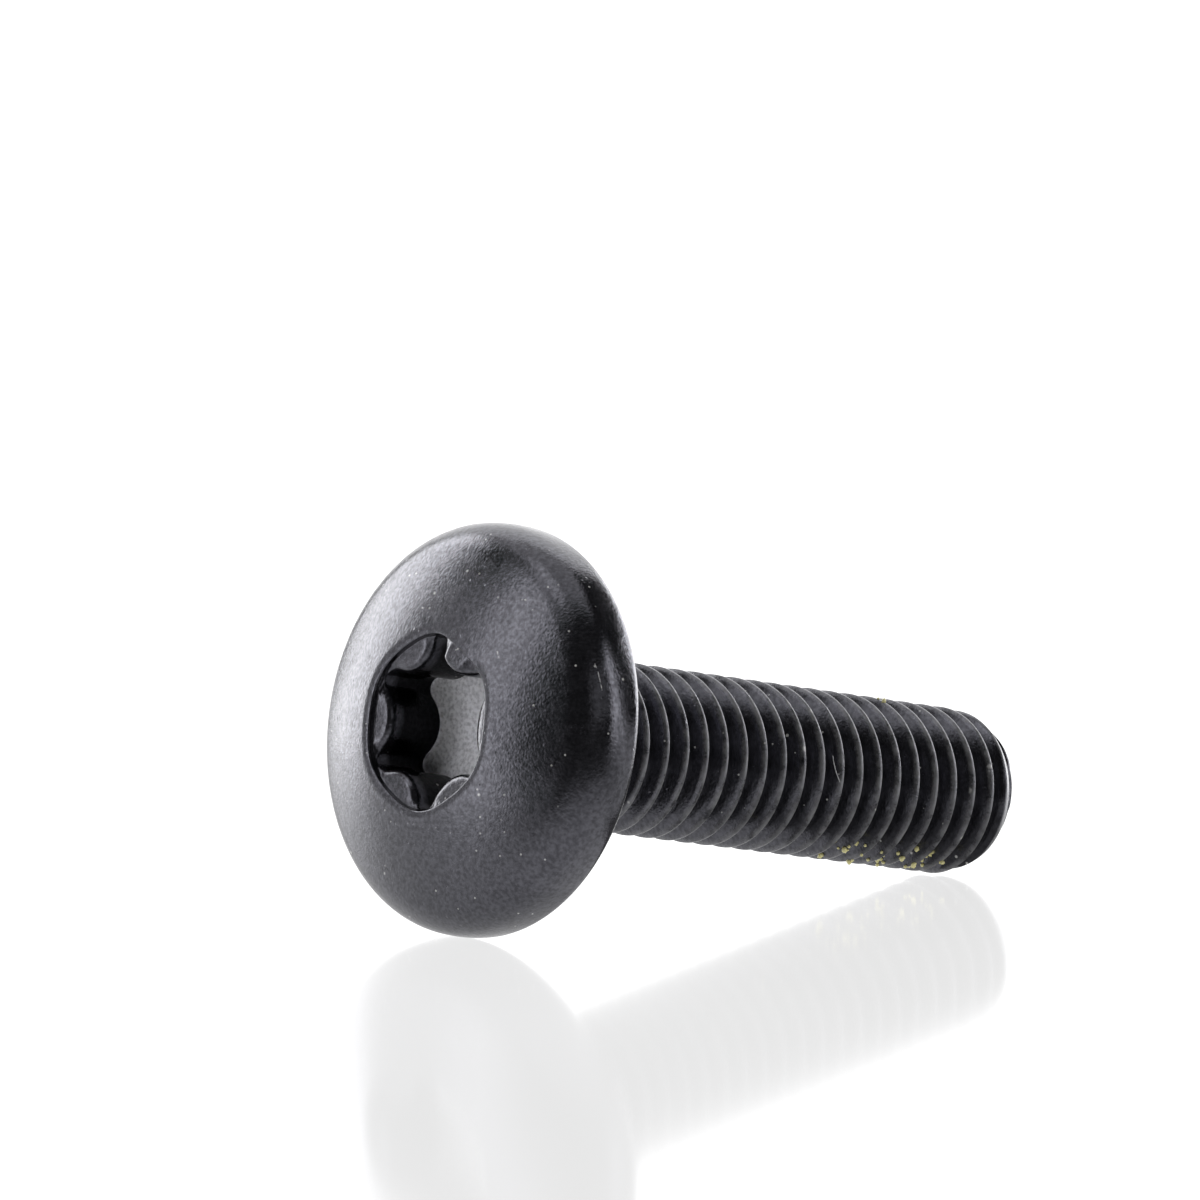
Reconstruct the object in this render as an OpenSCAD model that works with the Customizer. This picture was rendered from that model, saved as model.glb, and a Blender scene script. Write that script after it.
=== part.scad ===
// Truss-head machine screw with a hexalobular recess, one forged and rolled piece.
// It is drawn upright along its own axis, with the bearing face at the origin and
// the tip along +Z, and is then laid down on its rim and its thread end.

/* [Thread] */
// Major diameter of the thread
thread_d = 8; // [7:0.1:9]
// Pitch of the thread
thread_pitch = 1.25; // [1.1:0.05:1.5]
// Length from the bearing face to the tip
shank_length = 30; // [20:1:45]
// Gap between the bearing face and the start of the thread groove
thread_runout = 0.75; // [0.7:0.05:3]
// Angle about the axis at which the thread groove starts, 0 being the underside
thread_start_angle = 174; // [0:1:359]
// Diameter of the flat end of the point
point_d = 6.7; // [4:0.1:7]
// Length of the bevelled point
point_length = 1.3; // [0.6:0.1:2.5]

/* [Head] */
// Diameter of the head
head_d = 19; // [16:0.5:20.5]
// Height of the dome above the bearing face
head_height = 5.2; // [4.8:0.1:6]
// Radius of the dome
dome_radius = 20; // [17:0.5:30]
// Radius that rolls the dome over into the rim
rim_radius = 2.2; // [0.8:0.1:2.8]
// Radius of the rim's edge at the bearing face
seat_edge_radius = 0.6; // [0.2:0.1:1.4]

/* [Recess] */
// Diameter across the lobes of the recess
lobe_d = 7.93; // [7.53:0.02:8.29]
// Diameter across the flutes of the recess
flute_d = 5.64; // [5.3:0.01:5.9]
// Radius of each lobe's tip
lobe_tip_radius = 0.586; // [0.45:0.001:0.7]
// Depth of the recess walls below the top of the dome
recess_depth = 3.9; // [3:0.1:4.3]
// Depth of the conical floor below the walls
floor_depth = 0.5; // [0.1:0.1:0.6]
// Diameter of the round lead-in at the top of the recess
lead_in_d = 7.84; // [7:0.04:8.4]
// Depth of the lead-in from its mouth on the dome down to its flat ledge
lead_in_depth = 0.4; // [0.2:0.05:0.8]
// Turn of the recess about the axis, 0 with a lobe at the top
recess_turn = -3; // [-30:1:30]

/* [Hidden] */
$fn = 96;

lobes = 6;
lobe_step = 360 / lobes;
black_oxide = [0.13, 0.13, 0.14];

head_r = head_d / 2;
thread_r = thread_d / 2;

// Thread form: 60 degree flanks, a crest flat of an eighth of the pitch and a root below it
flank_angle = 30;
thread_depth = 0.6134 * thread_pitch;
groove_width = thread_pitch * 7 / 8;
groove_segments = 24;
groove_clear = 0.05;
groove_fade_turns = 0.5;
groove_turns = (shank_length - thread_runout) / thread_pitch + 1;

// The dome and the rim's rounding are tangent arcs, which meet on the line through their centres
dome_centre_h = head_height - dome_radius;
rim_centre_r = head_r - rim_radius;
rim_centre_h = dome_centre_h + sqrt(pow(dome_radius - rim_radius, 2) - pow(rim_centre_r, 2));
tangent_r = rim_centre_r * dome_radius / (dome_radius - rim_radius);

// The lead-in's mouth lies on the dome, and the recess is cut from well above it
mouth_h = dome_centre_h + sqrt(pow(dome_radius, 2) - pow(lead_in_d / 2, 2));
clear_h = head_height + 1;

// Each flute is an arc tangent to the two lobe tips beside it
lobe_centre_r = lobe_d / 2 - lobe_tip_radius;
flute_r = flute_d / 2;
half_step = lobe_step / 2;
flute_radius = (pow(lobe_centre_r, 2) + pow(flute_r, 2) - pow(lobe_tip_radius, 2)
    - 2 * lobe_centre_r * flute_r * cos(half_step))
    / (2 * (lobe_centre_r * cos(half_step) + lobe_tip_radius - flute_r));
flute_centre_r = flute_r + flute_radius;

// The flutes are cut this much deeper than the tangent, so that they cross the lobe tips cleanly
flute_bite = 0.01;

// Lying down, the rim's edge and the end of the full thread touch one straight line
contact_length = shank_length - point_length + seat_edge_radius;
contact_rise = head_r - seat_edge_radius - thread_r;
contact_span = sqrt(pow(contact_length, 2) + pow(contact_rise, 2));
rest_tilt = atan2(contact_rise, contact_length) + asin(seat_edge_radius / contact_span);

// Half section of the head, from the axis out to the rim, bearing face at the bottom
module head_section() {
    union() {
        intersection() {
            translate([0, dome_centre_h])
                circle(dome_radius);
            square([tangent_r, head_height]);
        }
        intersection() {
            translate([rim_centre_r, rim_centre_h])
                circle(rim_radius);
            translate([tangent_r, rim_centre_h])
                square(rim_radius);
        }
        translate([tangent_r, seat_edge_radius])
            square([head_r - tangent_r, rim_centre_h - seat_edge_radius]);
        square([head_r - seat_edge_radius, seat_edge_radius]);
        intersection() {
            translate([head_r - seat_edge_radius, seat_edge_radius])
                circle(seat_edge_radius);
            translate([head_r - seat_edge_radius, 0])
                square(seat_edge_radius);
        }
    }
}

module head() {
    mirror([0, 0, 1])
        rotate_extrude()
            head_section();
}

// Plain shank at the thread's major diameter, with the bevelled point
module shank() {
    full_length = shank_length - point_length;
    cylinder(h = full_length, d = thread_d);
    translate([0, 0, full_length])
        cylinder(h = point_length, d1 = thread_d, d2 = point_d);
}

// Section of the thread groove at a number of turns from its start, as radius and height
function groove_section(turns) =
    let (
        outer_r = thread_r + groove_clear,
        outer_half = groove_width / 2 + groove_clear * tan(flank_angle),
        fade = min(1, turns / groove_fade_turns),
        depth = groove_clear / 2 + (thread_depth + groove_clear / 2) * fade,
        inner_half = outer_half - depth * tan(flank_angle),
        middle = thread_runout + turns * thread_pitch
    )
    [
        [outer_r, middle - outer_half],
        [outer_r - depth, middle - inner_half],
        [outer_r - depth, middle + inner_half],
        [outer_r, middle + outer_half]
    ];

// The groove is its section swept along the right-hand helix
module thread_groove() {
    steps = ceil(groove_turns * groove_segments);
    points = [
        for (i = [0 : steps])
            let (turns = i / groove_segments, angle = thread_start_angle + 360 * turns)
                for (p = groove_section(turns))
                    [p[0] * cos(angle), p[0] * sin(angle), p[1]]
    ];
    sides = [
        for (i = [0 : steps - 1])
            for (k = [0 : 3])
                let (a = 4 * i + k, b = 4 * i + (k + 1) % 4)
                    each [[a, a + 4, b], [b, a + 4, b + 4]]
    ];
    last = 4 * steps;
    start_cap = [[0, 1, 2], [0, 2, 3]];
    end_cap = [[last, last + 2, last + 1], [last, last + 3, last + 2]];
    polyhedron(points, concat(sides, start_cap, end_cap));
}

module threaded_shank() {
    difference() {
        shank();
        thread_groove();
    }
}

// Outline of the recess: six lobe tips joined by six flutes
module hexalobular_outline() {
    joint_share = lobe_tip_radius / (lobe_tip_radius + flute_radius);
    joint_x = lobe_centre_r + joint_share * (flute_centre_r * cos(half_step) - lobe_centre_r);
    joint_y = joint_share * flute_centre_r * sin(half_step);
    difference() {
        union() {
            circle(norm([joint_x, joint_y]));
            for (i = [0 : lobes - 1])
                rotate(lobe_step * i)
                    translate([lobe_centre_r, 0])
                        circle(lobe_tip_radius);
        }
        for (i = [0 : lobes - 1])
            rotate(lobe_step * (i + 0.5))
                translate([flute_centre_r, 0])
                    circle(flute_radius + flute_bite);
    }
}

// Room of the recess, cut into the dome: lobed walls on a conical floor, and a round lead-in with a ledge
module recess() {
    ledge_h = mouth_h - lead_in_depth;
    floor_apex_h = head_height - recess_depth - floor_depth;
    wall_height = clear_h - floor_apex_h;
    intersection() {
        translate([0, 0, floor_apex_h])
            linear_extrude(wall_height)
                hexalobular_outline();
        translate([0, 0, floor_apex_h])
            cylinder(h = wall_height, r1 = 0, r2 = wall_height * flute_r / floor_depth);
    }
    translate([0, 0, ledge_h])
        cylinder(h = clear_h - ledge_h, d = lead_in_d);
}

module screw() {
    color(black_oxide)
        rotate([0, 90 + rest_tilt, 0])
            difference() {
                union() {
                    head();
                    threaded_shank();
                }
                rotate(180 + recess_turn)
                    mirror([0, 0, 1])
                        recess();
            }
}

screw();
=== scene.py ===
import math
from functools import cached_property
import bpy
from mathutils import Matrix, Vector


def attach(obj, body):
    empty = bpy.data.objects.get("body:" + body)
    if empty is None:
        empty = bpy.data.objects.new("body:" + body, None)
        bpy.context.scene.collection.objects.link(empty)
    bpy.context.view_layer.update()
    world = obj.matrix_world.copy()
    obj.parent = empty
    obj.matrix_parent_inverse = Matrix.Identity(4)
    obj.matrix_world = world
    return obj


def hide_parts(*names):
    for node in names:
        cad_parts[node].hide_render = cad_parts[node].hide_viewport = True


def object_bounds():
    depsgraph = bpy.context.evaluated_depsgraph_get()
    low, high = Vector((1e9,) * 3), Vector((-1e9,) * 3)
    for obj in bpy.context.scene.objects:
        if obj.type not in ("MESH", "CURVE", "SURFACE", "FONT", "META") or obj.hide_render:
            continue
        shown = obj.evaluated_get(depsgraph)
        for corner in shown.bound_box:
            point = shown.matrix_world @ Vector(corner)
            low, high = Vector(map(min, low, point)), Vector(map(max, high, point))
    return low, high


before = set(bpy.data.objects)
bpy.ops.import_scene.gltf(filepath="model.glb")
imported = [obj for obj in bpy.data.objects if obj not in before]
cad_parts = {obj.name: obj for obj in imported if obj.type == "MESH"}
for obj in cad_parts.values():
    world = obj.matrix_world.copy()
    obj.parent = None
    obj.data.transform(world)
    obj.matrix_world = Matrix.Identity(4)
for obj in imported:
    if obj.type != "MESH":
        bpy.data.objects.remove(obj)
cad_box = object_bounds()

from types import SimpleNamespace

import bmesh
import bpy
import numpy as np
from mathutils import Matrix, Vector

MM = 0.001
FULL_TURN = 2 * math.pi

# Sizes of the screw in millimetres, the same as in the part's source
THREAD_R = 4.0
PITCH = 1.25
SHANK_LENGTH = 30.0
THREAD_RUNOUT = 0.75
THREAD_START = math.radians(174)
THREAD_DEPTH = 0.6134 * PITCH
FLANK_ANGLE = math.radians(30)
CREST_EDGE = 7 / 16
FADE_TURNS = 0.5
POINT_R = 3.35
POINT_LENGTH = 1.3
HEAD_R = 9.5
HEAD_HEIGHT = 5.2
DOME_R = 20.0
RIM_R = 2.2
SEAT_EDGE_R = 0.6
LOBES = 6
LOBE_R = 3.965
FLUTE_R = 2.82
LOBE_TIP_R = 0.586
RECESS_DEPTH = 3.9
FLOOR_DEPTH = 0.5
MOUTH_R = 3.92
RECESS_TURN = math.radians(180 - 3)

# Small forms that only the looks have, in millimetres. The recess's mouth bulges at the lobes and has a
# rolled lip and a rounded edge, from which it slants in to the ledge
MOUTH_BULGE = 0.13
MOUTH_SLANT = 0.05
MOUTH_EDGE_R = 0.08
LIP_WIDTH = 0.5
LIP_DROP = 0.11
LIP_CLEAR = 0.05

# The ledge lies 0.01 lower than in the source and rises outward, and the walls flare below it
LEDGE_H = 4.4
LEDGE_RISE = 0.06
LEDGE_LEAST = 0.02
FLARE_GROW = 0.28
FLARE_HEIGHT = 0.45

# One flute's ledge is flush with the dome and loses most of the mouth's edge, and two flutes' ledges are
# cut back by a share. Flutes are counted from the one that follows the lobe at the top
FLUSH_FLUTE = 0
FLUSH_EDGE_LOSS = 0.95
CUT_FLUTES = ((1, 1.0), (2, 0.4))

# Rounded edges, the swell of the rim's wall, how softly the thread's flanks meet crest, root and point,
# and the share of its depth that the groove has at the runout
FLOOR_FILLET = 0.12
NECK_FILLET = 0.25
WALL_SWELL = math.radians(6)
ROOT_BLEND = 0.12
CREST_BLEND = 0.05
POINT_BLEND = 0.15
POINT_BLEND_REACH = 0.5
END_EDGE_R = 0.1
FADE_AT_RUNOUT = 0.5

# Wear: the radii over which the rim grows smooth, and how far from the groove's middle, as a share of the
# pitch, a crest starts to be worn and paler, partly a painted highlight, and over which further share it
# comes in
RIM_WORN_R = (9.2, 9.45)
CREST_WEAR_HIGHLIGHT_FROM = 0.40
CREST_WEAR_HIGHLIGHT_FADE = 0.03

# Dirt on the thread: crumbs, as how many, where along the shank and at which angles, and one hair
CRUMB_ZONES = (
    (90, (19.6, 27.0), (322, 354)),
    (4, (20.5, 22.8), (182, 200)),
    (4, (13.2, 15.2), (316, 330)),
)
CRUMB_SIZE = (0.06, 0.17)
CRUMB_STRETCH = (0.7, 1.3)
CRUMB_LIFT = 0.3
CRUMB_SEED = 7
CRUMB_MARK = 1.0
HAIR_ANGLES = (256, 273)
HAIR_Z = (17.2, 17.8)
HAIR_BEND = -0.12
HAIR_R = 0.02
HAIR_STEPS = 7
HAIR_SIDES = 5
HAIR_MARK = 0.5

# Scratches, as two places of radius, angle and height towards the tip, and their width
SCRATCHES = (
    ((9.236, 249.1, -2.475), (9.288, 254.2, -2.370), 0.06),
    ((9.192, 246.7, -2.553), (9.210, 247.8, -2.520), 0.05),
    ((5.290, 231.0, -4.487), (5.350, 227.5, -4.471), 0.09),
)

# Steps of the mesh round the axis, and its rows: as shares of the way, angles in degrees, or how many
STEPS = 192
FLOOR_ROWS = (0.1, 0.22, 0.36, 0.5, 0.64, 0.78, 0.9, 1.0)
FLOOR_FILLET_ROWS = (-65, -40, -15)
WALL_ROWS = 7
FLARE_ROWS = (18, 36, 54, 72, 90)
LEDGE_ROWS = (0.35, 0.7, 0.95, 1.0)
SLANT_ROWS = (0.08, 0.5, 1.0)
MOUTH_EDGE_ROWS = (22, 45, 68)
LIP_ROWS = 12
DOME_ROWS = 21
RIM_ROWS = 15
SWELL_ROWS = 9
SEAT_EDGE_ROWS = 11
BEARING_ROWS = 6
NECK_ROWS = (25, 50, 75)
PITCH_ROWS = (-0.5, -0.46, -0.43, -0.34, -0.21, -0.11, -0.05, 0, 0.05, 0.11, 0.21, 0.34, 0.43, 0.46)
END_ROWS = (0.85, 0.6, 0.3)

# Radii this near in millimetres count as the same, and points this near in metres become one
SAME_R = 1e-6
SAME_POINT = 1e-7

# Values that the mesh carries at its points, for the material
MARKS = ("crest", "recess", "wall", "rim", "dirt")

# Colours of the surface
OXIDE_DARK = (0.002, 0.002, 0.0024, 1)
OXIDE_PALE = (0.007, 0.007, 0.008, 1)
# Pale colour of the recess's floor: partly its rough, unburnished finish and partly painted light falling
# into the recess
FLOOR_LIT_DARK = (0.42, 0.42, 0.44, 1)
FLOOR_LIT_PALE = (0.80, 0.80, 0.83, 1)
# Painted shade: the recess's walls, darker than the oxide, for the shade they lie in
WALL_SHADE_COLOUR = (0.001, 0.001, 0.001, 1)
# Paler crests: partly wear and partly painted highlight along the thread's crests
WORN_HIGHLIGHT_COLOUR = (0.15, 0.15, 0.15, 1)
SPECK_COLOUR = (0.50, 0.50, 0.48, 1)
SCRATCH_COLOUR = (0.45, 0.45, 0.45, 1)
HAIR_COLOUR = (0.45, 0.45, 0.45, 1)
CRUMB_COLOUR = (0.74, 0.69, 0.32, 1)

# Noises of the surface, as scale and detail
GRAIN_NOISE = (9000, 3)
PEEL_NOISE = (3200, 2)
BLOTCH_NOISE = (1300, 3)
CREST_PATCH_NOISE = (1500, 3)
FLOOR_NOISE = (5500, 4)
SHEEN_NOISE = (5000, 4)

# Dots of the surface, as scale of the cells, size in the cell and share of the cells that have one
LARGE_SPECKS = (1600, 0.15, 0.05)
SMALL_SPECKS = (3200, 0.2, 0.05)
PITS = (2600, 0.2, 0.1)
NICKS = (1300, 0.24, 0.12)
DOT_CORE = 0.5

# Bands of a noise that become 0 to 1, or the two values that follow
GRAIN_COLOUR_BAND = (0.35, 0.7)
FLOOR_COLOUR_BAND = (0.3, 0.6)
CREST_PATCH_BAND = (0.25, 0.65)
SCRATCH_BREAK_BAND = (0.4, 0.55)
GRAIN_ROUGHNESS = (0.3, 0.7, 0.13, 0.21)
BLOTCH_ROUGHNESS = (0.35, 0.65, 0.0, 0.07)
SHEEN_LEVEL = (0.36, 0.64, 0.36, 0.64)

# Gloss and relief of the surface
OXIDE_IOR = 1.85
OXIDE_TINT = (0.87, 0.87, 1.0, 1)
FLOOR_ROUGHER = 0.12
RIM_SMOOTHER = 0.05
WORN_ROUGHER = 0.2
# Painted shade: the gloss on the recess's walls is weakened, for the shade they lie in
WALL_SHADE_SHEEN = 0.15
PIT_DEPTH = 0.8
PEEL_BUMP = 0.3
GRAIN_BUMP = 0.6
BUMP_DISTANCE = 0.00002

# The camera, as fitted to the photo: turn from the screw's level direction, drop below the horizon, roll,
# and where the bearing face's centre lies in the view, right, up and ahead, in millimetres
VIEW_TURN = math.radians(48.3429)
VIEW_DROP = math.radians(6.3864)
VIEW_ROLL = math.radians(-0.0962)
BEARING_IN_VIEW = (-4.4568, -6.0567, 366.2011)
SENSOR = 36.0
LENS = 240.0
NEAREST_SEEN = 0.01

# The pale table, in metres
TABLE_HALF = 6.0
TABLE_GLOW = 0.74
TABLE_MATT = (0.06, 0.06, 0.06, 1)
TABLE_ROUGHNESS = 0.1
TABLE_IOR = 1.25

# The card before the head: a part of a ring about the head's foot, in metres, with its glow close to the
# head and away from it. Towards its two sides it takes on the table's glow
HEAD_FOOT_X = -0.0025
CARD_TURN = math.radians(8)
CARD_HALF_ANGLE = math.radians(68)
CARD_SIDE_FADE = 0.6
CARD_NEAR = 0.007
CARD_FAR = 1.5
CARD_ARC_POINTS = 15
CARD_LIFT = 0.0002
CARD_FADE_REACH = (0.012, 0.050)
CARD_NEAR_GLOW = 0.95
CARD_GLOW = 0.08

# The card before the shank, as its ranges of x and y in metres
SHANK_CARD = ((0.004, 0.034), (-0.014, -0.001))
SHANK_CARD_LIFT = 0.0004
SHANK_CARD_GLOW = 0.2

# Soft boxes, as name, azimuth from the camera's side towards the right of the view and elevation in
# degrees, distance and size in metres, and radiance
SOFT_BOXES = (
    ("back_wall", 180, 28, 1.5, (1.50, 1.75), 1.6),
    ("back_left_box", -131, 21, 0.8, (0.34, 0.66), 4.6),
    ("back_right_box", 132, 14, 0.8, (0.64, 0.42), 4.2),
    ("left_fill", -104, 16, 0.9, (0.45, 0.62), 0.62),
    ("left_box", -75, 22, 0.8, (0.30, 0.70), 2.35),
    ("left_high_box", -68, 62, 0.8, (0.35, 0.40), 1.2),
    ("right_box", 71, 20, 0.85, (0.27, 0.62), 2.2),
    ("front_glow", 30, 27, 0.9, (0.60, 0.40), 0.35),
    ("top_box", -160, 80, 0.8, (0.80, 0.80), 0.8),
)
LIT_POINT = Vector((0.01, 0, 0))
ROOM_GLOW = 0.04

# Derived lengths and angles
LOBE_STEP = FULL_TURN / LOBES
FLUTE_FADE = LOBE_STEP / 3
DOME_CENTRE_H = HEAD_HEIGHT - DOME_R
RIM_CENTRE_R = HEAD_R - RIM_R
RIM_CENTRE_H = DOME_CENTRE_H + math.sqrt((DOME_R - RIM_R) ** 2 - RIM_CENTRE_R ** 2)
RIM_START = math.asin(RIM_CENTRE_R / (DOME_R - RIM_R))
RIM_END = math.pi / 2 - WALL_SWELL
RIM_END_R = RIM_CENTRE_R + RIM_R * math.sin(RIM_END)
RIM_END_H = RIM_CENTRE_H + RIM_R * math.cos(RIM_END)
TANGENT_R = DOME_R * math.sin(RIM_START)
LIP_OUT_R = MOUTH_R + MOUTH_BULGE + LIP_WIDTH + LIP_CLEAR
SEAT_R = RIM_END_R - SEAT_EDGE_R * math.cos(WALL_SWELL)
SEAT_TOP_H = SEAT_EDGE_R * (1 - math.sin(WALL_SWELL))
SWELL_R = (RIM_END_H - SEAT_TOP_H) / (2 * math.sin(WALL_SWELL))
SWELL_CENTRE_R = RIM_END_R - SWELL_R * math.cos(WALL_SWELL)
SWELL_CENTRE_H = (RIM_END_H + SEAT_TOP_H) / 2
FLOOR_APEX_H = HEAD_HEIGHT - RECESS_DEPTH - FLOOR_DEPTH
FLOOR_SLOPE = FLOOR_DEPTH / FLUTE_R
POINT_START = SHANK_LENGTH - POINT_LENGTH
CONTACT_LENGTH = POINT_START + SEAT_EDGE_R
CONTACT_RISE = HEAD_R - SEAT_EDGE_R - THREAD_R
CONTACT_SPAN = math.hypot(CONTACT_LENGTH, CONTACT_RISE)
REST_TILT = math.atan2(CONTACT_RISE, CONTACT_LENGTH) + math.asin(SEAT_EDGE_R / CONTACT_SPAN)

ANGLES = np.arange(STEPS) * FULL_TURN / STEPS


def between(a, b, share):
    """The value that lies a share of the way from a to b."""
    return a + (b - a) * share


def smooth_min(a, b, blend):
    """The lower of two values, rounded where they are nearer than blend."""
    share = np.clip(0.5 + 0.5 * (b - a) / blend, 0, 1)
    return b + (a - b) * share - blend * share * (1 - share)


def smooth_max(a, b, blend):
    """The higher of two values, rounded where they are nearer than blend."""
    return -smooth_min(-a, -b, blend)


def star_radius(angle, grow=0.0):
    """Radius of the recess's six-lobed outline, grown outward, at an angle from the middle of a lobe."""
    half = LOBE_STEP / 2
    lobe_c = LOBE_R - LOBE_TIP_R
    reach = lobe_c ** 2 + FLUTE_R ** 2 - LOBE_TIP_R ** 2 - 2 * lobe_c * FLUTE_R * math.cos(half)
    flute_arc = reach / (2 * (lobe_c * math.cos(half) + LOBE_TIP_R - FLUTE_R))
    flute_c = FLUTE_R + flute_arc
    tip_arc = LOBE_TIP_R + grow
    share = tip_arc / (LOBE_TIP_R + flute_arc)
    flute_arc = flute_arc - grow
    joint = math.atan2(share * flute_c * math.sin(half), between(lobe_c, flute_c * math.cos(half), share))
    a = np.abs((angle + half) % LOBE_STEP - half)
    on_lobe = lobe_c * np.cos(a) + np.sqrt(np.maximum(tip_arc ** 2 - (lobe_c * np.sin(a)) ** 2, 0))
    b = half - a
    on_flute = flute_c * np.cos(b) - np.sqrt(np.maximum(flute_arc ** 2 - (flute_c * np.sin(b)) ** 2, 0))
    return np.where(a < joint, on_lobe, on_flute)


def dome_height(r):
    """Height of the dome above the bearing face."""
    return DOME_CENTRE_H + np.sqrt(DOME_R ** 2 - r ** 2)


def lip_height(r, mouth_r, drop):
    """Height of the dome, rolled down by a drop towards the recess's mouth."""
    near = np.clip(1 - (r - mouth_r) / LIP_WIDTH, 0, 1)
    return dome_height(r) - drop * near ** 2


def floor_height(r):
    """Height of the recess's conical floor above the bearing face."""
    return FLOOR_APEX_H + r * FLOOR_SLOPE


def near_flute(flute):
    """Share from 1 about the middle of a flute down to 0 at the lobes beside it."""
    middle = RECESS_TURN + (flute + 0.5) * LOBE_STEP
    away = np.abs((ANGLES - middle + math.pi) % FULL_TURN - math.pi)
    return np.clip((LOBE_STEP / 2 - away) / FLUTE_FADE, 0, 1)


def mouth_forms():
    """Radii and heights of the recess's mouth and ledge, at every angle."""
    turn = ANGLES - RECESS_TURN
    mouth_r = MOUTH_R + MOUTH_BULGE * (1 + np.cos(LOBES * turn)) / 2
    ledge_r = mouth_r - MOUTH_SLANT
    entry_most = ledge_r - LEDGE_LEAST
    entry_r = np.minimum(star_radius(turn, FLARE_GROW), entry_most)
    for flute, share in CUT_FLUTES:
        entry_r = between(entry_r, entry_most, near_flute(flute) * share)
    flush = near_flute(FLUSH_FLUTE)
    edge_r = MOUTH_EDGE_R * (1 - FLUSH_EDGE_LOSS * flush)
    drop = LIP_DROP * (1 - flush)
    edge_h = lip_height(mouth_r + edge_r, mouth_r, drop) - edge_r
    flush_h = edge_h + dome_height(entry_r) - dome_height(ledge_r)
    return SimpleNamespace(
        r=mouth_r,
        edge_r=edge_r,
        edge_h=edge_h,
        drop=drop,
        ledge_r=ledge_r,
        ledge_h=between(LEDGE_H + LEDGE_RISE, edge_h, flush),
        entry_r=entry_r,
        entry_h=between(LEDGE_H, flush_h, flush),
    )


def recess_loops(mouth):
    """Loops of the recess: its floor, the floor's rounded edge, the walls and their flare."""
    star = star_radius(ANGLES - RECESS_TURN)
    inner = star - FLOOR_FILLET
    for share in FLOOR_ROWS:
        yield inner * share, floor_height(inner * share)
    for a in np.radians(FLOOR_FILLET_ROWS):
        yield inner + FLOOR_FILLET * math.cos(a), floor_height(inner) + FLOOR_FILLET * (1 + math.sin(a))
    wall_low = floor_height(inner) + FLOOR_FILLET
    wall_high = mouth.entry_h - FLARE_HEIGHT
    for share in np.linspace(0, 1, WALL_ROWS):
        yield star, between(wall_low, wall_high, share)
    for a in np.radians(FLARE_ROWS):
        yield between(star, mouth.entry_r, 1 - math.cos(a)), wall_high + FLARE_HEIGHT * math.sin(a)


def mouth_loops(mouth):
    """Loops out over the ledge, up the mouth's slant and round its edge."""
    for share in LEDGE_ROWS:
        yield between(mouth.entry_r, mouth.ledge_r, share), between(mouth.entry_h, mouth.ledge_h, share)
    for share in SLANT_ROWS:
        yield between(mouth.ledge_r, mouth.r, share), between(mouth.ledge_h, mouth.edge_h, share)
    for a in np.radians(MOUTH_EDGE_ROWS):
        yield mouth.r + mouth.edge_r * (1 - math.cos(a)), mouth.edge_h + mouth.edge_r * math.sin(a)


def dome_loops(mouth):
    """Loops over the mouth's rolled lip and the dome."""
    lip_in = mouth.r + mouth.edge_r
    lip_out = np.full(STEPS, LIP_OUT_R)
    for share in np.linspace(0, 1, LIP_ROWS, endpoint=False):
        r = between(lip_in, lip_out, share)
        yield r, lip_height(r, mouth.r, mouth.drop)
    for share in np.linspace(0, 1, DOME_ROWS, endpoint=False):
        r = between(lip_out, TANGENT_R, share)
        yield r, dome_height(r)


def even_loop(r, h):
    """A loop that is the same all round."""
    return np.full(STEPS, r), np.full(STEPS, h)


def rim_loops():
    """Loops round the rim, down its wall, which swells a little, and round the edge of the bearing face."""
    for a in np.linspace(RIM_START, RIM_END, RIM_ROWS):
        yield even_loop(RIM_CENTRE_R + RIM_R * math.sin(a), RIM_CENTRE_H + RIM_R * math.cos(a))
    for a in np.linspace(WALL_SWELL, -WALL_SWELL, SWELL_ROWS)[1:]:
        yield even_loop(SWELL_CENTRE_R + SWELL_R * math.cos(a), SWELL_CENTRE_H + SWELL_R * math.sin(a))
    for a in np.linspace(WALL_SWELL, math.pi / 2, SEAT_EDGE_ROWS)[1:]:
        yield even_loop(SEAT_R + SEAT_EDGE_R * math.cos(a), SEAT_EDGE_R * (1 - math.sin(a)))


def neck_loops():
    """Loops in over the bearing face and round the fillet at the shank's neck."""
    neck_r = THREAD_R + NECK_FILLET
    for share in np.linspace(0, 1, BEARING_ROWS)[1:]:
        yield even_loop(between(SEAT_R, neck_r, share), 0.0)
    for a in np.radians(NECK_ROWS):
        yield even_loop(neck_r - NECK_FILLET * math.sin(a), -NECK_FILLET * (1 - math.cos(a)))


def head_loops():
    """Loops of (radius, height) from the recess's floor over the dome and rim to the shank's neck."""
    mouth = mouth_forms()
    return [*recess_loops(mouth), *mouth_loops(mouth), *dome_loops(mouth), *rim_loops(), *neck_loops()]


def groove_phase(z, angle):
    """Place in the pitch, from -0.5 to 0.5 with 0 in the middle of the groove."""
    middle = THREAD_RUNOUT + PITCH * (angle - THREAD_START) / FULL_TURN
    return ((z - middle) / PITCH + 0.5) % 1 - 0.5


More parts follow.
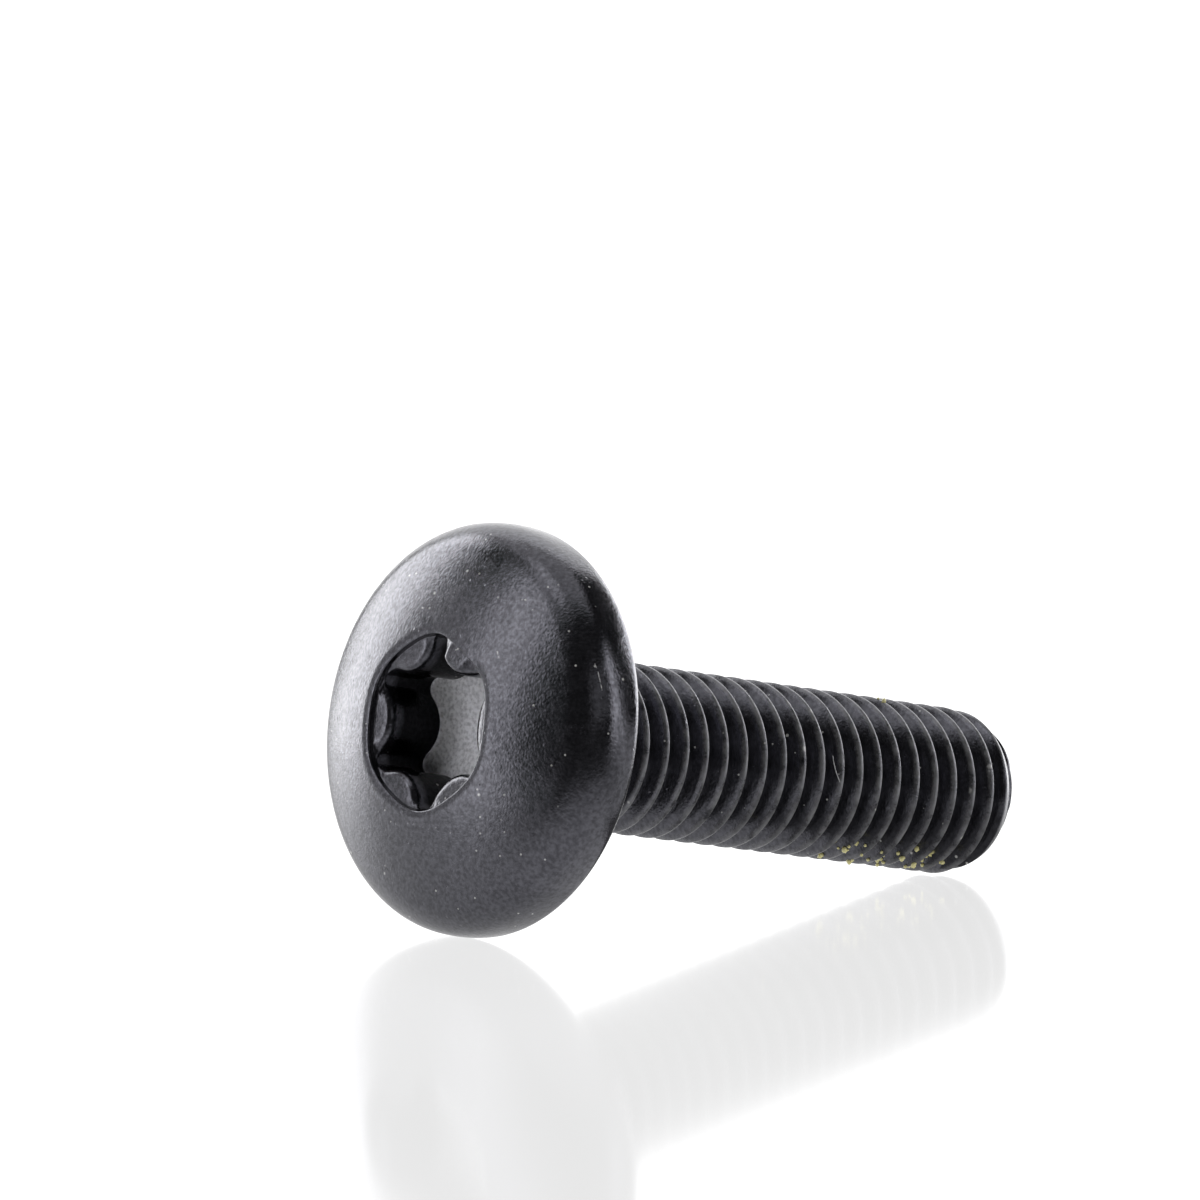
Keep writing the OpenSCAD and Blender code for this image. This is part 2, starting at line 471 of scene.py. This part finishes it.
def thread_radius(z, angle):
    """Radius of the threaded shank, its bevelled point and rounded end."""
    from_middle = np.abs(groove_phase(z, angle))
    flank = THREAD_R - (CREST_EDGE - from_middle) * PITCH / math.tan(FLANK_ANGLE)
    cut = smooth_min(smooth_max(flank, THREAD_R - THREAD_DEPTH, ROOT_BLEND), THREAD_R, CREST_BLEND)
    turns_in = (z - THREAD_RUNOUT) / PITCH
    r = between(THREAD_R, cut, np.clip(turns_in / FADE_TURNS + FADE_AT_RUNOUT, 0, 1))
    bevel = between(THREAD_R, POINT_R, (z - POINT_START) / POINT_LENGTH)
    r = np.where(z > POINT_START - POINT_BLEND_REACH, smooth_min(r, bevel, POINT_BLEND), r)
    near_end = np.clip(END_EDGE_R - (SHANK_LENGTH - z), 0, END_EDGE_R)
    return r - (END_EDGE_R - np.sqrt(END_EDGE_R ** 2 - near_end ** 2))


def to_row(r, angle, z):
    """Points of the upright screw, radius, angle and height towards the tip, laid down in the row frame."""
    x, y = r * np.cos(angle), r * np.sin(angle)
    s, c = math.sin(REST_TILT), math.cos(REST_TILT)
    return np.stack([-x * s + z * c, y, -x * c - z * s], -1) * MM


class Surface:
    """Points with their marks, and the faces between them, gathered for one mesh."""

    def __init__(self):
        self.points = []
        self.faces = []
        self.marks = {name: [] for name in MARKS}

    def add(self, r, angle, z, **shares):
        """Adds points of the upright screw, marked by shares, and gives the number of the first."""
        first = len(self.points)
        self.points.extend(to_row(r, angle, z).tolist())
        shares["rim"] = np.clip((r - RIM_WORN_R[0]) / (RIM_WORN_R[1] - RIM_WORN_R[0]), 0, 1)
        for name, values in self.marks.items():
            values.extend(np.broadcast_to(shares.get(name, 0.0), np.shape(r)).tolist())
        return first

    def add_on_axis(self, z, **shares):
        """Adds one point on the axis."""
        return self.add(np.zeros(1), np.zeros(1), np.full(1, z), **shares)

    def join(self, a, b):
        """Adds the faces between two loops."""
        for i in range(STEPS):
            k = (i + 1) % STEPS
            self.faces.append((a + i, a + k, b + k, b + i))

    def mesh(self, name):
        """The mesh of the points and faces, with the marks as its attributes."""
        mesh = bpy.data.meshes.new(name)
        mesh.from_pydata(self.points, [], self.faces)
        for mark, values in self.marks.items():
            mesh.attributes.new(mark, "FLOAT", "POINT").data.foreach_set("value", values)
        return mesh


def add_head(surface):
    """Adds the recess, dome, rim and bearing face, and gives the loop at the neck."""
    star = star_radius(ANGLES - RECESS_TURN)
    centre = surface.add_on_axis(-FLOOR_APEX_H, recess=1.0)
    last = None
    for r, h in head_loops():
        deep = h < LEDGE_H - FLARE_HEIGHT
        on_floor = (deep & (r < star - SAME_R)).astype(float)
        on_wall = (deep & (np.abs(r - star) < SAME_R)).astype(float)
        first = surface.add(r, ANGLES, -h, recess=on_floor, wall=on_wall)
        if last is None:
            surface.faces.extend((centre, first + i, first + (i + 1) % STEPS) for i in range(STEPS))
        else:
            surface.join(last, first)
        last = first
    return last


def thread_rows(surface):
    """Adds the rows of points along the thread's helix, kept between the neck and the end."""
    base = THREAD_RUNOUT - PITCH * THREAD_START / FULL_TURN
    first_pitch = math.floor((NECK_FILLET - PITCH - base) / PITCH) - 1
    last_pitch = math.ceil((SHANK_LENGTH - base) / PITCH) + 1
    rows = []
    for p in range(first_pitch, last_pitch + 1):
        for t in PITCH_ROWS:
            z = np.clip(base + (p + t) * PITCH + PITCH * ANGLES / FULL_TURN, NECK_FILLET, SHANK_LENGTH)
            from_middle = np.abs(groove_phase(z, ANGLES))
            # Crest share: where the crests are worn and painted paler, partly as a highlight
            crest_wear_and_highlight = np.clip((from_middle - CREST_WEAR_HIGHLIGHT_FROM) / CREST_WEAR_HIGHLIGHT_FADE, 0, 1)
            rows.append(surface.add(thread_radius(z, ANGLES), ANGLES, z, crest=crest_wear_and_highlight))
    return rows


def add_thread(surface):
    """Adds the thread. A row goes on, at the end of its turn, as the row one pitch further."""
    rows = thread_rows(surface)
    on = len(PITCH_ROWS)
    for k in range(len(rows) - 1):
        a, b = rows[k], rows[k + 1]
        surface.faces.extend((a + i, a + i + 1, b + i + 1, b + i) for i in range(STEPS - 1))
        if k + 1 + on < len(rows):
            c, d = rows[k + on], rows[k + 1 + on]
            surface.faces.append((a + STEPS - 1, c, d, b + STEPS - 1))


def add_neck(surface, head_end):
    """Joins the head to the start of the shank."""
    z = np.full(STEPS, NECK_FILLET)
    surface.join(head_end, surface.add(thread_radius(z, ANGLES), ANGLES, z))


def add_end(surface):
    """Adds the flat end of the point."""
    z = np.full(STEPS, SHANK_LENGTH)
    end_r = thread_radius(z, ANGLES)
    last = surface.add(end_r, ANGLES, z)
    for share in END_ROWS:
        first = surface.add(end_r * share, ANGLES, z)
        surface.join(last, first)
        last = first
    tip = surface.add_on_axis(SHANK_LENGTH)
    surface.faces.extend((last + i, tip, last + (i + 1) % STEPS) for i in range(STEPS))


def add_crumbs(bm):
    """Small irregular crumbs sitting on the thread."""
    dirt = bm.verts.layers.float["dirt"]
    draw = np.random.default_rng(CRUMB_SEED)
    for count, z_range, angle_range in CRUMB_ZONES:
        for _ in range(count):
            z = draw.uniform(*z_range)
            angle = math.radians(draw.uniform(*angle_range))
            size = draw.uniform(*CRUMB_SIZE)
            stretch = draw.uniform(*CRUMB_STRETCH, 3)
            r = float(thread_radius(z, angle)) + CRUMB_LIFT * size
            turn = Matrix.Rotation(draw.uniform(0, math.pi), 4, Vector(draw.normal(size=3)).normalized())
            place = Matrix.Translation(Vector(to_row(r, angle, z)))
            shape = place @ turn @ Matrix.Diagonal((*(stretch * size * MM), 1))
            for v in bmesh.ops.create_icosphere(bm, subdivisions=1, radius=1, matrix=shape)["verts"]:
                v[dirt] = CRUMB_MARK


def add_hair(bm):
    """A short pale fibre lying on the thread."""
    dirt = bm.verts.layers.float["dirt"]
    t = np.linspace(0, 1, HAIR_STEPS)
    angle = np.radians(between(*HAIR_ANGLES, t))
    z = between(*HAIR_Z, t) + HAIR_BEND * np.sin(math.pi * t)
    line = to_row(np.full(HAIR_STEPS, THREAD_R + HAIR_R), angle, z)
    rings = []
    for k, point in enumerate(line):
        along = Vector(line[min(k + 1, HAIR_STEPS - 1)] - line[max(k - 1, 0)]).normalized()
        side = along.orthogonal().normalized()
        other = along.cross(side)
        ring = []
        for a in np.linspace(0, FULL_TURN, HAIR_SIDES, endpoint=False):
            v = bm.verts.new(Vector(point) + (side * math.cos(a) + other * math.sin(a)) * HAIR_R * MM)
            v[dirt] = HAIR_MARK
            ring.append(v)
        rings.append(ring)
    for a, b in zip(rings, rings[1:]):
        for i in range(HAIR_SIDES):
            k = (i + 1) % HAIR_SIDES
            bm.faces.new((a[i], a[k], b[k], b[i]))
    bm.faces.new(tuple(reversed(rings[0])))
    bm.faces.new(tuple(rings[-1]))


def screw_mesh():
    """One mesh: the closed screw, from recess to end, and the dirt on its thread."""
    surface = Surface()
    head_end = add_head(surface)
    add_thread(surface)
    add_neck(surface, head_end)
    add_end(surface)
    mesh = surface.mesh("screw_looks")
    bm = bmesh.new()
    bm.from_mesh(mesh)
    bmesh.ops.remove_doubles(bm, verts=bm.verts, dist=SAME_POINT)
    bmesh.ops.dissolve_degenerate(bm, edges=bm.edges, dist=SAME_POINT)
    bmesh.ops.recalc_face_normals(bm, faces=bm.faces)
    add_crumbs(bm)
    add_hair(bm)
    for f in bm.faces:
        f.smooth = True
    bm.to_mesh(mesh)
    bm.free()
    return mesh


def link(obj):
    """Puts an object into the scene."""
    bpy.context.scene.collection.objects.link(obj)
    return obj


class Shader:
    """Short ways to add and join the nodes of a material."""

    def __init__(self, material):
        self.nodes = material.node_tree.nodes
        self.links = material.node_tree.links

    def feed(self, socket, value):
        """Joins another node's output to a socket, or sets the socket's own value."""
        if isinstance(value, bpy.types.NodeSocket):
            self.links.new(value, socket)
        else:
            socket.default_value = value

    def add(self, kind, inputs=None, operation=None):
        """Adds a node, with its operation if it has one, and feeds its inputs, by name or number."""
        node = self.nodes.new("ShaderNode" + kind)
        if operation:
            node.operation = operation
        for key, value in (inputs or {}).items():
            self.feed(node.inputs[key], value)
        return node

    @cached_property
    def place(self):
        """Place in the object's own frame."""
        return self.add("TexCoord").outputs["Object"]

    def attribute(self, name):
        """A mark that the mesh carries."""
        node = self.add("Attribute")
        node.attribute_name = name
        return node.outputs["Fac"]

    def math(self, operation, a, b):
        """A sum, product or the like of two values."""
        return self.add("Math", {0: a, 1: b}, operation).outputs[0]

    def vector_measure(self, operation, inputs):
        """A number made from vectors."""
        return self.add("VectorMath", inputs, operation).outputs["Value"]

    def vector_math(self, operation, inputs):
        """A vector made from vectors."""
        return self.add("VectorMath", inputs, operation).outputs["Vector"]

    def ramp(self, value, low, high, to_low=0.0, to_high=1.0):
        """A value's band from low to high turned into another band, and held at its ends."""
        band = {"From Min": low, "From Max": high, "To Min": to_low, "To Max": to_high}
        return self.add("MapRange", {"Value": value, **band}).outputs["Result"]

    def noise(self, scale, detail):
        """A soft random pattern."""
        inputs = {"Scale": scale, "Detail": detail, "Vector": self.place}
        return self.add("TexNoise", inputs).outputs["Fac"]

    def dots(self, scale, size, share):
        """Round dots in a share of the cells of a Voronoi pattern."""
        cells = self.add("TexVoronoi", {"Scale": scale, "Vector": self.place})
        draw = self.add("SeparateColor", {"Color": cells.outputs["Color"]}).outputs[0]
        near = self.ramp(cells.outputs["Distance"], size, size * DOT_CORE)
        return self.math("MULTIPLY", near, self.math("GREATER_THAN", draw, 1 - share))

    def stroke(self, start, end, width):
        """A straight mark between two places on the surface."""
        a, b = (Vector(to_row(r, math.radians(angle), z)) for r, angle, z in (start, end))
        along = b - a
        from_a = self.vector_math("SUBTRACT", {0: self.place, 1: a})
        part = self.vector_measure("DOT_PRODUCT", {0: from_a, 1: along})
        share = self.ramp(part, 0, along.length_squared)
        nearest = self.vector_math("SCALE", {0: along, "Scale": share})
        away = self.vector_measure("DISTANCE", {0: from_a, 1: nearest})
        return self.ramp(away, width * MM / 2, width * MM / 4)

    def mix_colour(self, share, a, b):
        """One colour where the share is 0, and another where it is 1."""
        node = self.add("Mix")
        node.data_type = "RGBA"
        for number, value in ((0, share), (6, a), (7, b)):
            self.feed(node.inputs[number], value)
        return node.outputs[2]

    def bump(self, height, strength, under=None):
        """Normals of a fine relief, which may lie on another relief."""
        node = self.add("Bump", {"Height": height, "Strength": strength, "Distance": BUMP_DISTANCE})
        if under is not None:
            self.links.new(under, node.inputs["Normal"])
        return node.outputs["Normal"]


def scratch_marks(shader, grain):
    """Share of scratch, broken up by the grain."""
    marks = shader.stroke(*SCRATCHES[0])
    for scratch in SCRATCHES[1:]:
        marks = shader.math("MAXIMUM", marks, shader.stroke(*scratch))
    return shader.math("MULTIPLY", marks, shader.ramp(grain, *SCRATCH_BREAK_BAND))


def oxide_colour(shader, grain, crest_wear_and_highlight):
    """Nearly black; paler on the recess's floor, partly painted light; darker on its walls as painted
    shade; paler crests, partly wear and partly painted highlight; specks, nicks, scratches and dirt.
    """
    specks = shader.math("MAXIMUM", shader.dots(*LARGE_SPECKS), shader.dots(*SMALL_SPECKS))
    nicks = shader.math("MULTIPLY", shader.attribute("crest"), shader.dots(*NICKS))
    dirt = shader.attribute("dirt")
    # Painted light: the recess's floor is made pale, partly for its rough finish and partly for the light
    # falling into the recess
    lit_floor_share = shader.ramp(shader.noise(*FLOOR_NOISE), *FLOOR_COLOUR_BAND)
    lit_floor_colour = shader.mix_colour(lit_floor_share, FLOOR_LIT_DARK, FLOOR_LIT_PALE)
    colour = shader.mix_colour(shader.ramp(grain, *GRAIN_COLOUR_BAND), OXIDE_DARK, OXIDE_PALE)
    for share, over in (
        # The recess's floor, made pale partly by painted light
        (shader.attribute("recess"), lit_floor_colour),
        # Painted shade on the recess's walls
        (shader.attribute("wall"), WALL_SHADE_COLOUR),
        # Crests made paler, partly by wear and partly as a painted highlight
        (crest_wear_and_highlight, WORN_HIGHLIGHT_COLOUR),
        (shader.math("MAXIMUM", specks, nicks), SPECK_COLOUR),
        (scratch_marks(shader, grain), SCRATCH_COLOUR),
        (shader.ramp(dirt, 0, HAIR_MARK), HAIR_COLOUR),
        (shader.ramp(dirt, HAIR_MARK, CRUMB_MARK), CRUMB_COLOUR),
    ):
        colour = shader.mix_colour(share, colour, over)
    return colour


def oxide_roughness(shader, grain, crest_wear_and_highlight):
    """Satin, rougher in blotches, on the recess's floor and on worn crests, and smoother on the rim."""
    blotch = shader.ramp(shader.noise(*BLOTCH_NOISE), *BLOTCH_ROUGHNESS)
    rough = shader.math("ADD", shader.ramp(grain, *GRAIN_ROUGHNESS), blotch)
    for operation, share, amount in (
        ("ADD", shader.attribute("recess"), FLOOR_ROUGHER),
        ("SUBTRACT", shader.attribute("rim"), RIM_SMOOTHER),
        ("ADD", crest_wear_and_highlight, WORN_ROUGHER),
    ):
        rough = shader.math(operation, rough, shader.math("MULTIPLY", share, amount))
    return rough


def oxide_sheen(shader):
    """Uneven strength of the gloss, weakened on the recess's walls as painted shade."""
    level = shader.ramp(shader.noise(*SHEEN_NOISE), *SHEEN_LEVEL)
    return shader.math("MULTIPLY", level, shader.ramp(shader.attribute("wall"), 0, 1, 1, WALL_SHADE_SHEEN))


def oxide_bump(shader, grain):
    """Normals of the fine grain with its pits, on a broader unevenness."""
    peel = shader.bump(shader.noise(*PEEL_NOISE), PEEL_BUMP)
    pits = shader.math("MULTIPLY", shader.dots(*PITS), PIT_DEPTH)
    return shader.bump(shader.math("SUBTRACT", grain, pits), GRAIN_BUMP, under=peel)


def black_oxide():
    """Satin black oxide on steel: dark and finely granular, with pale specks, pits and worn crests that are
    partly a painted highlight, painted light on the recess's floor and painted shade on its walls.
    """
    mat = bpy.data.materials.new("black_oxide_steel")
    mat.use_nodes = True
    shader = Shader(mat)
    grain = shader.noise(*GRAIN_NOISE)
    # Patches of crest that are worn and painted paler, partly as a highlight
    crest_patches = shader.ramp(shader.noise(*CREST_PATCH_NOISE), *CREST_PATCH_BAND)
    crest_wear_and_highlight = shader.math("MULTIPLY", shader.attribute("crest"), crest_patches)
    inputs = shader.nodes["Principled BSDF"].inputs
    inputs["IOR"].default_value = OXIDE_IOR
    inputs["Specular Tint"].default_value = OXIDE_TINT
    shader.feed(inputs["Base Color"], oxide_colour(shader, grain, crest_wear_and_highlight))
    shader.feed(inputs["Roughness"], oxide_roughness(shader, grain, crest_wear_and_highlight))
    shader.feed(inputs["Specular IOR Level"], oxide_sheen(shader))
    shader.feed(inputs["Normal"], oxide_bump(shader, grain))
    return mat


def flat_sheet(name, corners, z):
    """A level sheet on the stage, facing up, with an empty material to fill."""
    mesh = bpy.data.meshes.new(name)
    mesh.from_pydata([(x, y, z) for x, y in corners], [], [tuple(range(len(corners)))])
    if mesh.polygons[0].normal.z < 0:
        mesh.flip_normals()
    sheet = link(bpy.data.objects.new(name, mesh))
    mat = bpy.data.materials.new(name)
    mat.use_nodes = True
    mat.node_tree.nodes.clear()
    mesh.materials.append(mat)
    return sheet, Shader(mat)


def rectangle(x_range, y_range):
    """Corners of a rectangle."""
    (x0, x1), (y0, y1) = x_range, y_range
    return [(x0, y0), (x1, y0), (x1, y1), (x0, y1)]


def table_top(z):
    """Pale table top, glossy at low angles."""
    span = (-TABLE_HALF, TABLE_HALF)
    _, shader = flat_sheet("floor", rectangle(span, span), z)
    glow = shader.add("Emission", {"Strength": TABLE_GLOW})
    matt = shader.add("BsdfDiffuse", {"Color": TABLE_MATT})
    fresnel = shader.add("Fresnel", {"IOR": TABLE_IOR})
    shine = shader.add("BsdfGlossy", {"Roughness": TABLE_ROUGHNESS, "Color": fresnel.outputs[0]})
    plain = shader.add("AddShader", {0: glow.outputs[0], 1: matt.outputs[0]})
    both = shader.add("AddShader", {0: plain.outputs[0], 1: shine.outputs[0]})
    shader.add("OutputMaterial", {"Surface": both.outputs[0]})


def glow_upwards(card, shader, strength):
    """Makes a card glow, upwards only and in reflections only."""
    glow = shader.add("Emission", {"Strength": strength})
    side = shader.add("NewGeometry").outputs["Backfacing"]
    clear = shader.add("BsdfTransparent")
    pick = shader.add("MixShader", {0: side, 1: glow.outputs[0], 2: clear.outputs[0]})
    shader.add("OutputMaterial", {"Surface": pick.outputs[0]})
    card.visible_camera = False
    card.visible_diffuse = False
    card.visible_shadow = False
    card.visible_transmission = False


def view_axes():
    """The camera's right, up and ahead directions."""
    ahead_level = Vector((math.cos(VIEW_TURN), math.sin(VIEW_TURN), 0))
    right = Vector((math.sin(VIEW_TURN), -math.cos(VIEW_TURN), 0))
    ahead = ahead_level * math.cos(VIEW_DROP) - Vector((0, 0, 1)) * math.sin(VIEW_DROP)
    up = Vector((0, 0, 1)) * math.cos(VIEW_DROP) + ahead_level * math.sin(VIEW_DROP)
    roll = Matrix.Rotation(-VIEW_ROLL, 3, ahead)
    return roll @ right, roll @ up, ahead


def head_card(z):
    """A card lying before the head, darker away from it, which only reflections see."""
    _, _, ahead = view_axes()
    facing = math.atan2(-ahead.y, -ahead.x) + CARD_TURN
    arc = [facing + CARD_HALF_ANGLE * k for k in np.linspace(-1, 1, CARD_ARC_POINTS)]
    corners = [(CARD_FAR * math.cos(a), CARD_FAR * math.sin(a)) for a in arc]
    corners += [(CARD_NEAR * math.cos(a), CARD_NEAR * math.sin(a)) for a in reversed(arc)]
    card, shader = flat_sheet("dark_card", [(x + HEAD_FOOT_X, y) for x, y in corners], z + CARD_LIFT)
    from_foot = shader.vector_math("SUBTRACT", {0: shader.place, 1: (HEAD_FOOT_X, 0, z)})
    reach = shader.vector_measure("LENGTH", {0: from_foot})
    forward = (math.cos(facing), math.sin(facing), 0)
    along = shader.vector_measure("DOT_PRODUCT", {0: from_foot, 1: forward})
    by_reach = shader.ramp(reach, *CARD_FADE_REACH, CARD_NEAR_GLOW, CARD_GLOW)
    side, inside = math.cos(CARD_HALF_ANGLE), math.cos(CARD_HALF_ANGLE * CARD_SIDE_FADE)
    by_side = shader.ramp(shader.math("DIVIDE", along, reach), side, inside, TABLE_GLOW, CARD_GLOW)
    glow_upwards(card, shader, shader.math("MAXIMUM", by_reach, by_side))


def shank_card(z):
    """A dark strip before the shank, which only reflections see, for the shade it lies in."""
    card, shader = flat_sheet("shank_card", rectangle(*SHANK_CARD), z + SHANK_CARD_LIFT)
    glow_upwards(card, shader, SHANK_CARD_GLOW)


def add_camera():
    """The camera at the photograph's viewing angle."""
    right, up, ahead = view_axes()
    r, u, a = BEARING_IN_VIEW
    data = bpy.data.cameras.new("camera")
    data.sensor_width = SENSOR
    data.lens = LENS
    data.clip_start = NEAREST_SEEN
    camera = link(bpy.data.objects.new("camera", data))
    turn = Matrix((right, up, -ahead)).transposed().to_4x4()
    camera.matrix_world = Matrix.Translation(-(right * r + up * u + ahead * a) * MM) @ turn
    bpy.context.scene.camera = camera


def soft_box(name, azimuth, elevation, distance, size, radiance):
    """An area light aimed at the screw."""
    right, _, ahead = view_axes()
    back = Vector((-ahead.x, -ahead.y, 0)).normalized()
    az, el = math.radians(azimuth), math.radians(elevation)
    way = (back * math.cos(az) + right * math.sin(az)) * math.cos(el) + Vector((0, 0, 1)) * math.sin(el)
    data = bpy.data.lights.new(name, "AREA")
    data.shape = "RECTANGLE"
    data.size, data.size_y = size
    data.energy = radiance * math.pi * size[0] * size[1]
    lamp = link(bpy.data.objects.new(name, data))
    lamp.location = LIT_POINT + way * distance
    lamp.rotation_euler = (-way).to_track_quat("-Z", "Y").to_euler()


def add_lights():
    """A faintly lit room and the soft boxes."""
    world = bpy.data.worlds.new("room")
    world.use_nodes = True
    background = world.node_tree.nodes["Background"]
    background.inputs["Color"].default_value = (1, 1, 1, 1)
    background.inputs["Strength"].default_value = ROOM_GLOW
    bpy.context.scene.world = world
    for box in SOFT_BOXES:
        soft_box(*box)


screw = link(bpy.data.objects.new("screw_looks", screw_mesh()))
screw.data.materials.append(black_oxide())
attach(screw, "root")
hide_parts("screw")

table_top(cad_box[0].z)
head_card(cad_box[0].z)
shank_card(cad_box[0].z)
add_camera()
add_lights()
bpy.context.scene.view_settings.view_transform = "Standard"
